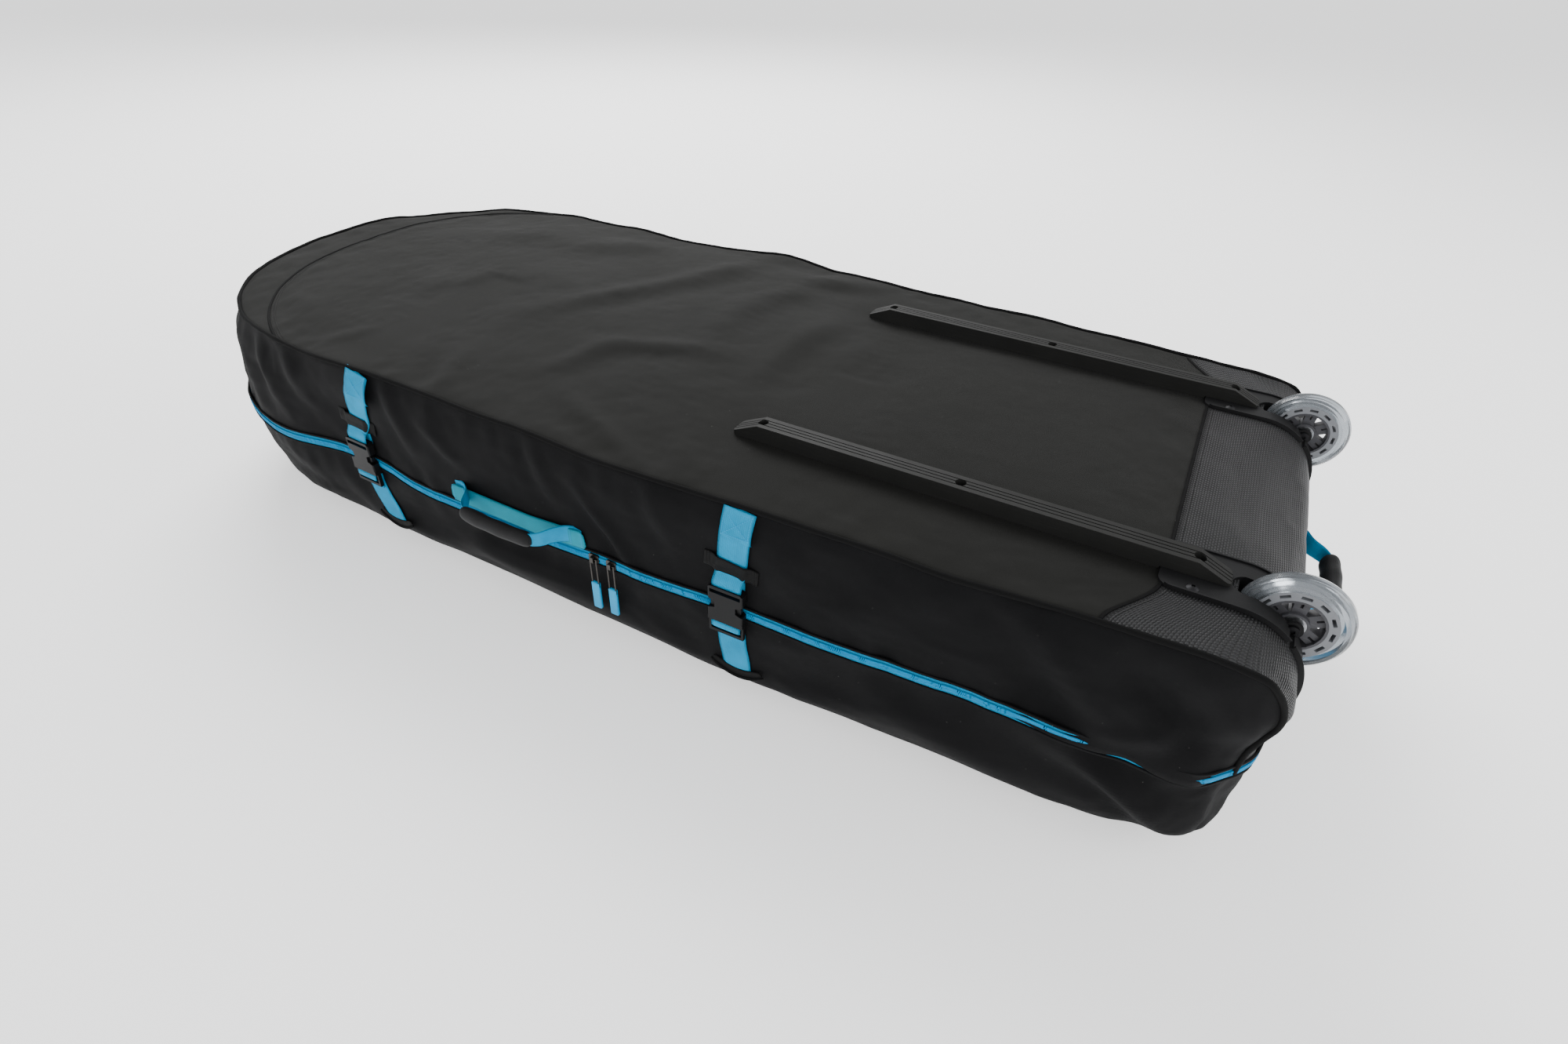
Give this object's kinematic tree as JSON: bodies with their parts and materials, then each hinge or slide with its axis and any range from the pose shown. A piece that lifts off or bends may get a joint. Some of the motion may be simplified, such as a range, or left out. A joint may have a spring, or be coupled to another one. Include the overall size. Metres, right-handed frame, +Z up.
{
  "type": "snowboard bag",
  "caption": "Long padded clamshell bag with a round nose, plastic wear rails and inline wheels at a square tail, side zip, cross straps with release buckles, and carry handles.",
  "frame": {"origin": "on the face the bag rests on, under the middle of its length and width", "axes": "+X towards the wheeled tail, -Y towards the side with the carry handle, +Z up through the base panel with the rails"},
  "size_m": [1.6169, 0.711, 0.323],
  "materials": {
    "lid_fabric": "black woven polyester",
    "base_fabric": "black woven polyester",
    "ribbed_fabric": "ribbed ballistic nylon",
    "zip_blue": "coil zip on blue tape",
    "webbing_blue": "blue woven webbing",
    "webbing_black": "black woven webbing",
    "board_plastic": "sheet plastic",
    "rail_plastic": "moulded charcoal plastic",
    "buckle_plastic": "moulded black acetal",
    "screw_steel": "dark zinc",
    "tyre_clear": "clear polyurethane",
    "core_white": "milky moulded core",
    "hub_grey": "dark grey moulded hub",
    "grip_black": "padded black sleeve",
    "slider_nickel": "dark nickel",
    "tab_blue": "moulded blue rubber"
  },
  "bodies": {
    "lid": {"lid_panel": "lid_fabric", "lid_gusset_nose": "lid_fabric", "lid_gusset_near": "lid_fabric", "lid_gusset_far": "lid_fabric", "lid_gusset_tail": "lid_fabric", "zip_tape_lid": "zip_blue", "fabric_hinge": "lid_fabric", "strap_lower_front": "webbing_blue", "strap_lower_rear": "webbing_blue", "strap_anchor_front": "webbing_black", "strap_anchor_rear": "webbing_black"},
    "base": {"base_panel": "base_fabric", "nose_cap": "base_fabric", "tail_patch": "ribbed_fabric", "tail_wall": "ribbed_fabric", "base_gusset_nose": "base_fabric", "base_gusset_near": "base_fabric", "base_gusset_far": "base_fabric", "zip_tape_base": "zip_blue", "stiffener_board": "board_plastic", "rail_near": "rail_plastic", "rail_far": "rail_plastic", "rail_screws": "screw_steel", "rail_nuts": "screw_steel", "wheel_housing_near": "rail_plastic", "wheel_housing_far": "rail_plastic", "housing_screws": "screw_steel", "axle_near": "screw_steel", "axle_far": "screw_steel", "strap_upper_front": "webbing_blue", "strap_upper_rear": "webbing_blue", "strap_keeper_front": "webbing_black", "strap_keeper_rear": "webbing_black", "buckle_socket_front": "buckle_plastic", "buckle_socket_rear": "buckle_plastic", "side_handle_base": "webbing_blue", "tail_handle_tabs": "webbing_blue"},
    "side_handle": {"side_handle_webbing": "webbing_blue", "side_handle_grip": "grip_black"},
    "tail_handle": {"tail_handle_webbing": "webbing_blue", "tail_handle_grip": "grip_black"},
    "wheel_near": {"wheel_tyre_near": "tyre_clear", "wheel_core_near": "core_white", "wheel_hub_near": "hub_grey", "wheel_bearings_near": "screw_steel"},
    "wheel_far": {"wheel_tyre_far": "tyre_clear", "wheel_core_far": "core_white", "wheel_hub_far": "hub_grey", "wheel_bearings_far": "screw_steel"},
    "tongue_front": {"buckle_tongue_front": "buckle_plastic", "strap_loop_front": "webbing_blue"},
    "slider_front": {"zip_slider_front": "slider_nickel"},
    "pull_front": {"pull_wire_front": "slider_nickel", "pull_tab_front": "tab_blue"},
    "tongue_rear": {"buckle_tongue_rear": "buckle_plastic", "strap_loop_rear": "webbing_blue"},
    "slider_rear": {"zip_slider_rear": "slider_nickel"},
    "pull_rear": {"pull_wire_rear": "slider_nickel", "pull_tab_rear": "tab_blue"}
  },
  "joints": [
    {"name": "base_hinge", "type": "hinge", "parent": "lid", "child": "base", "pos_m": [0, 0.3293, 0.142], "axis": [-1, 0, 0], "range_deg": [0, 110]},
    {"name": "wheel_near_spin", "type": "hinge", "parent": "base", "child": "wheel_near", "pos_m": [0.77, -0.199, 0.273], "axis": [0, 1, 0], "continuous": true},
    {"name": "wheel_far_spin", "type": "hinge", "parent": "base", "child": "wheel_far", "pos_m": [0.77, 0.199, 0.273], "axis": [0, 1, 0], "continuous": true},
    {"name": "side_handle_swing", "type": "hinge", "parent": "base", "child": "side_handle", "pos_m": [-0.07, -0.33423, 0.164], "axis": [-0.9999, 0.0118, 0], "range_deg": [-50, 60]},
    {"name": "tail_handle_swing", "type": "hinge", "parent": "base", "child": "tail_handle", "pos_m": [0.796, 0, 0.195], "axis": [0, -1, 0], "range_deg": [-60, 60]},
    {"name": "tongue_front_release", "type": "slide", "parent": "lid", "child": "tongue_front", "axis": [0, 0, -1], "range_m": [0, 0.03]},
    {"name": "tongue_rear_release", "type": "slide", "parent": "lid", "child": "tongue_rear", "axis": [0, 0, -1], "range_m": [0, 0.03]},
    {"name": "slider_front_run", "type": "slide", "parent": "base", "child": "slider_front", "axis": [-0.9999, 0.016, 0], "range_m": [0, 0.335]},
    {"name": "slider_rear_run", "type": "slide", "parent": "base", "child": "slider_rear", "axis": [1, 0.0068, 0], "range_m": [0, 0.11]},
    {"name": "pull_front_swing", "type": "hinge", "parent": "slider_front", "child": "pull_front", "pos_m": [0.052, -0.33915, 0.142], "axis": [-1, 0, 0], "range_deg": [0, 140]},
    {"name": "pull_rear_swing", "type": "hinge", "parent": "slider_rear", "child": "pull_rear", "pos_m": [0.078, -0.33914, 0.142], "axis": [-1, 0, 0], "range_deg": [0, 140]}
  ]
}
